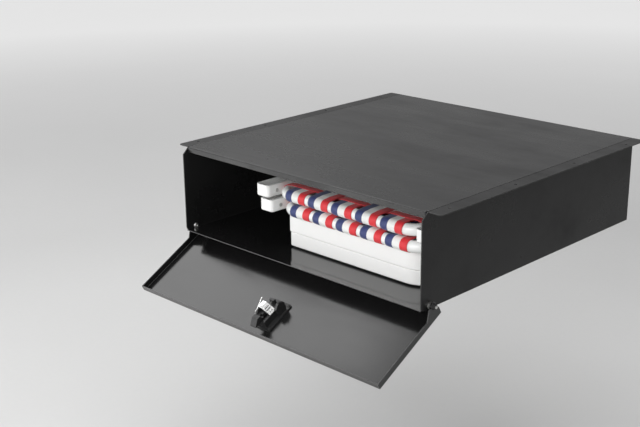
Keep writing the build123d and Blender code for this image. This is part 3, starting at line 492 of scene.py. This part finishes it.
YF = -381.0 * MM
for tag, xc, zc in (("upper_chair", 90.0 * MM, -71.0 * MM), ("lower_chair", 103.5 * MM, -104.0 * MM)):
    y0 = YF + 70 * MM
    y_bar = y0 + 542 * MM
    half, r = 193.0 * MM, 12.7 * MM
    ys = [y0 + (49 + 78 * k) * MM for k in range(6)]
    xs = [xc + (k - 2) * PITCH for k in range(5)]
    base, amp = r + 1.55 * MM, 0.72 * MM
    parts = []
    for k, x in enumerate(xs):
        lv = weave_level(base, amp, ys, lambda j, k=k: 1 if (k + j) % 2 else -1)
        parts.append(strap_mesh("", wrap_path(y0, y_bar, zc, r, 9.5 * MM, 1, 11 * MM, lv, 150), "x", x, WEB_W, False, None, None))
    build_straps(f"{tag}_long_straps", parts, tag, f"{tag}_back_webbing_long")
    parts = []
    for j, y in enumerate(ys):
        lv = weave_level(base, amp, xs, lambda k, j=j: -1 if (k + j) % 2 else 1)
        parts.append(strap_mesh("", wrap_path(xc - half, xc + half, zc, r, r, 1, 8 * MM, lv, 130), "y", y, WEB_W, True, None, None))
    build_straps(f"{tag}_cross_straps", parts, tag, f"{tag}_back_webbing_cross")
    # seat, straps underneath
    s_y0, s_bar = y0 + 120 * MM, y0 + 520 * MM
    s_half, s_r = 161.6 * MM, 11 * MM
    sys_ = [s_y0 + (78 + 76 * k) * MM for k in range(4)]
    sxs = [xc + (k - 1.5) * PITCH for k in range(4)]
    base, amp = s_r + 1.5 * MM, 0.70 * MM
    parts = []
    for k, x in enumerate(sxs):
        lv = weave_level(base, amp, sys_, lambda j, k=k: 1 if (k + j) % 2 else -1)
        parts.append(strap_mesh("", wrap_path(s_y0, s_bar, zc, s_r, 8.5 * MM, -1, 12 * MM, lv, 120), "x", x, WEB_W, False, None, None))
    for j, y in enumerate(sys_):
        lv = weave_level(base, amp, sxs, lambda k, j=j: -1 if (k + j) % 2 else 1)
        parts.append(strap_mesh("", wrap_path(xc - s_half, xc + s_half, zc, s_r, s_r, -1, 8 * MM, lv, 110), "y", y, WEB_W, True, None, None))
    build_straps(f"{tag}_seat_straps", parts, tag, f"{tag}_seat_webbing")


# ---------------------------------------------------------------------- stage
def stage_plane(name, size, loc, mat):
    me = bpy.data.meshes.new(name)
    s = size / 2
    me.from_pydata([(-s, -s, 0), (s, -s, 0), (s, s, 0), (-s, s, 0)], [], [(0, 1, 2, 3)])
    o = bpy.data.objects.new(name, me)
    o.location = loc
    me.materials.append(mat)
    COLL.objects.link(o)
    return o


t = Tree("pale_floor")
obj = t.coord()
n1 = t.noise(obj, 0.8, 4.0, 0.55)
t.set(Base_Color=t.mix(n1, c4(0.60, 0.60, 0.595), c4(0.66, 0.66, 0.655)),
      Roughness=t.map_range(t.noise(obj, 60.0, 3.0, 0.6), 0.3, 0.7, 0.5, 0.65),
      Normal=t.bump(t.noise(obj, 300.0, 3.0, 0.6), 0.0003, 0.3))
# far from the locker the floor brightens into the backdrop, for the camera only
nt = t.mat.node_tree
f_len = nt.nodes.new("ShaderNodeVectorMath")
f_len.operation = "LENGTH"
f_map = nt.nodes.new("ShaderNodeMapRange")
f_map.inputs[1].default_value, f_map.inputs[2].default_value = 2.2, 7.0
f_map.inputs[3].default_value, f_map.inputs[4].default_value = 0.0, 0.46
f_path = nt.nodes.new("ShaderNodeLightPath")
f_mul = nt.nodes.new("ShaderNodeMath")
f_mul.operation = "MULTIPLY"
f_geo = nt.nodes.new("ShaderNodeNewGeometry")
nt.links.new(f_geo.outputs["Position"], f_len.inputs[0])
nt.links.new(f_len.outputs["Value"], f_map.inputs[0])
nt.links.new(f_map.outputs[0], f_mul.inputs[0])
nt.links.new(f_path.outputs["Is Camera Ray"], f_mul.inputs[1])
t.bsdf.inputs["Emission Color"].default_value = (1, 1, 1, 1)
nt.links.new(f_mul.outputs[0], t.bsdf.inputs["Emission Strength"])
stage_plane("stage_floor", 60.0, (0, 0, -0.80), t.mat)


def area(name, loc, target, size, size_y, power, color=(1, 1, 1)):
    li = bpy.data.lights.new(name, "AREA")
    li.shape = "RECTANGLE"
    li.size, li.size_y = size, size_y
    li.energy = power
    li.color = color
    o = bpy.data.objects.new(name, li)
    o.location = loc
    d = Vector(target) - Vector(loc)
    o.rotation_mode = "QUATERNION"
    o.rotation_quaternion = d.to_track_quat("-Z", "Y")
    COLL.objects.link(o)
    return o


area("key_front", (1.2, -3.4, 1.1), (0.05, -0.3, -0.12), 2.4, 1.6, 72)
area("fill_front_left", (-1.9, -3.0, 0.7), (0.0, -0.3, -0.15), 1.8, 1.4, 26)
area("top_left_card", (-2.1, 0.15, 2.0), (0.0, -0.45, -0.28), 3.0, 1.5, 30)
low = area("low_front_left_card", (-1.65, -2.04, -0.72), (0.0, -0.37, -0.02), 1.5, 0.7, 8.0)
low.visible_camera = False
area("top_soft", (0.3, -0.6, 3.6), (0.0, -0.4, 0.0), 4.0, 3.0, 60)

world = bpy.data.worlds.new("studio")
bpy.context.scene.world = world
world.use_nodes = True
wt = world.node_tree
wt.nodes.clear()
wo = wt.nodes.new("ShaderNodeOutputWorld")
bg = wt.nodes.new("ShaderNodeBackground")
tc = wt.nodes.new("ShaderNodeTexCoord")
sp = wt.nodes.new("ShaderNodeSeparateXYZ")
mr = wt.nodes.new("ShaderNodeMapRange")
rp = wt.nodes.new("ShaderNodeValToRGB")
wt.links.new(tc.outputs["Generated"], sp.inputs[0])
wt.links.new(sp.outputs[2], mr.inputs[0])
mr.inputs[1].default_value, mr.inputs[2].default_value = -0.2, 1.0
wt.links.new(mr.outputs[0], rp.inputs[0])
rp.color_ramp.elements[0].position = 0.0
rp.color_ramp.elements[0].color = (0.55, 0.55, 0.55, 1)
rp.color_ramp.elements[1].position = 1.0
rp.color_ramp.elements[1].color = (0.85, 0.85, 0.86, 1)
wt.links.new(rp.outputs[0], bg.inputs[0])
bg.inputs[1].default_value = 0.60
# the backdrop the camera sees is paler than the light it gives
lp = wt.nodes.new("ShaderNodeLightPath")
seen = wt.nodes.new("ShaderNodeBackground")
seen.inputs[0].default_value = (0.86, 0.86, 0.865, 1)
mixw = wt.nodes.new("ShaderNodeMixShader")
wt.links.new(lp.outputs["Is Camera Ray"], mixw.inputs[0])
wt.links.new(bg.outputs[0], mixw.inputs[1])
wt.links.new(seen.outputs[0], mixw.inputs[2])
wt.links.new(mixw.outputs[0], wo.inputs[0])

# --------------------------------------------------------------------- camera
W = 0.7112
yaw, pitch, roll = math.radians(44.79), math.radians(18.27), math.radians(0.67)
fwd = Vector((-math.sin(yaw) * math.cos(pitch), math.cos(yaw) * math.cos(pitch), -math.sin(pitch)))
right = Vector((math.cos(yaw), math.sin(yaw), 0))
down = fwd.cross(right)
r2 = right * math.cos(roll) + down * math.sin(roll)
d2 = down * math.cos(roll) - right * math.sin(roll)
rot = Matrix((
    (r2.x, -d2.x, -fwd.x),
    (r2.y, -d2.y, -fwd.y),
    (r2.z, -d2.z, -fwd.z),
))
cam = bpy.data.cameras.new("camera")
cam.sensor_width = 36.0
cam.lens = 1143.8 / 640.0 * 36.0
cam_o = bpy.data.objects.new("camera", cam)
cam_o.rotation_mode = "QUATERNION"
cam_o.rotation_quaternion = rot.to_quaternion()
cam_o.location = Vector((2.3221 * W, -2.2183 * W + YF, 0.9476 * W))
COLL.objects.link(cam_o)
bpy.context.scene.camera = cam_o

try:
    bpy.context.scene.view_settings.view_transform = "Standard"
    bpy.context.scene.view_settings.look = "None"
except TypeError:
    pass
